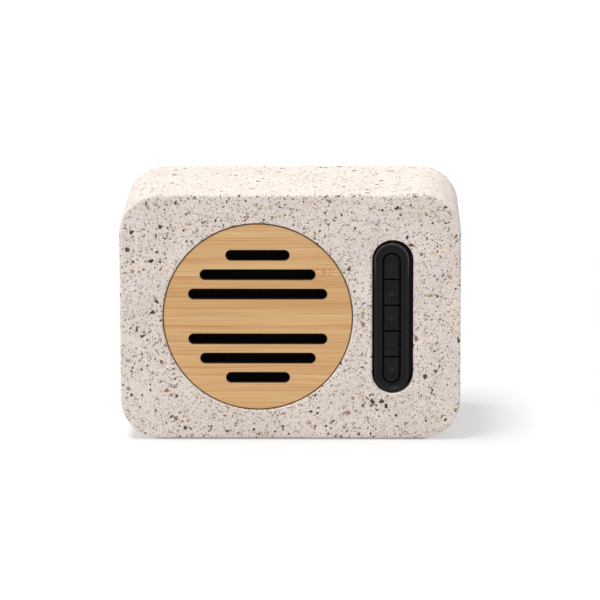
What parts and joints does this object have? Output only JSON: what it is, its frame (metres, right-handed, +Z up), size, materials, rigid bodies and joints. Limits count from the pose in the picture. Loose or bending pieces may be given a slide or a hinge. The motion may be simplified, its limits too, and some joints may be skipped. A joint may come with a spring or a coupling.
{
  "type": "wireless speaker",
  "caption": "Small block-shaped wireless speaker: cast stone case, round slotted bamboo grille, upright column of black push keys, rear charge socket.",
  "frame": {"origin": "centre of the bottom of the bounding box, on the floor under the feet", "axes": "+X to the right seen from the front, +Y from the grille to the rear cover, +Z up"},
  "size_m": [0.11, 0.054, 0.0808],
  "materials": {
    "cast_stone": "matte",
    "bamboo": "satin",
    "black_cloth": "matte",
    "black_plastic": "matte",
    "bezel_plastic": "satin",
    "cover_plastic": "matte",
    "foam": "matte",
    "driver_steel": "satin",
    "yoke_steel": "satin",
    "magnet_plating": "satin",
    "surround_rubber": "matte",
    "cone_paper": "matte",
    "cap_paper": "matte",
    "spider_cloth": "matte",
    "former_foil": "satin",
    "copper_wire": "satin",
    "terminal_board": "matte",
    "dark_screw": "satin",
    "plain_screw": "satin",
    "switch_plastic": "matte",
    "plunger_plastic": "matte",
    "circuit_board": "satin",
    "socket_steel": "satin",
    "lamp_plastic": "gloss",
    "pipe_plastic": "gloss",
    "shield_metal": "satin",
    "chip_plastic": "matte",
    "capacitor_can": "satin",
    "plug_plastic": "matte",
    "battery_pouch": "satin",
    "lead_sleeve": "satin",
    "ribbon_film": "satin",
    "key_rubber": "matte",
    "foot_rubber": "matte"
  },
  "bodies": {
    "speaker": {"amplifier_chip": "chip_plastic", "bamboo_grille": "bamboo", "battery_cell": "battery_pouch", "battery_lead": "lead_sleeve", "battery_pad": "foam", "battery_plug": "plug_plastic", "board_ribbon_plug": "plug_plastic", "board_screws": "plain_screw", "capacitors": "capacitor_can", "charge_lamp": "lamp_plastic", "charge_socket": "socket_steel", "driver_basket": "driver_steel", "driver_lead": "lead_sleeve", "driver_plug": "plug_plastic", "driver_screws": "dark_screw", "driver_terminals": "terminal_board", "front_baffle": "black_plastic", "grille_cloth": "black_cloth", "key_bezel": "bezel_plastic", "key_board": "circuit_board", "key_board_screws": "plain_screw", "key_ribbon": "ribbon_film", "key_ribbon_plug": "plug_plastic", "left_front_foot": "foot_rubber", "left_rear_foot": "foot_rubber", "light_pipe": "pipe_plastic", "magnet": "magnet_plating", "main_board": "circuit_board", "microphone": "shield_metal", "pole_plate": "yoke_steel", "pot_yoke": "yoke_steel", "rear_cover": "cover_plastic", "rear_cover_screws": "dark_screw", "rear_gasket": "foam", "right_front_foot": "foot_rubber", "right_rear_foot": "foot_rubber", "spider": "spider_cloth", "stone_case": "cast_stone", "surround": "surround_rubber", "switch_bodies": "switch_plastic", "wireless_module": "shield_metal"},
    "power_button": {"power_key": "key_rubber", "power_plunger": "plunger_plastic"},
    "next_button": {"next_key": "key_rubber", "next_plunger": "plunger_plastic"},
    "volume_up_button": {"volume_up_key": "key_rubber", "volume_up_plunger": "plunger_plastic"},
    "volume_down_button": {"volume_down_key": "key_rubber", "volume_down_plunger": "plunger_plastic"},
    "previous_button": {"previous_key": "key_rubber", "previous_plunger": "plunger_plastic"},
    "cone_assembly": {"cone": "cone_paper", "dust_cap": "cap_paper", "coil_former": "former_foil", "coil_winding": "copper_wire"}
  },
  "joints": [
    {"name": "power_press", "type": "slide", "parent": "speaker", "child": "power_button", "axis": [0, 1, 0], "range_m": [0, 0.0005], "stiffness_N_per_m": 800},
    {"name": "next_press", "type": "slide", "parent": "speaker", "child": "next_button", "axis": [0, 1, 0], "range_m": [0, 0.0005], "stiffness_N_per_m": 800},
    {"name": "volume_up_press", "type": "slide", "parent": "speaker", "child": "volume_up_button", "axis": [0, 1, 0], "range_m": [0, 0.0005], "stiffness_N_per_m": 800},
    {"name": "volume_down_press", "type": "slide", "parent": "speaker", "child": "volume_down_button", "axis": [0, 1, 0], "range_m": [0, 0.0005], "stiffness_N_per_m": 800},
    {"name": "previous_press", "type": "slide", "parent": "speaker", "child": "previous_button", "axis": [0, 1, 0], "range_m": [0, 0.0005], "stiffness_N_per_m": 800},
    {"name": "cone_stroke", "type": "slide", "parent": "speaker", "child": "cone_assembly", "axis": [0, 1, 0], "range_m": [-0.0012, 0.0012], "stiffness_N_per_m": 1500, "deforming": ["surround", "spider"]}
  ]
}
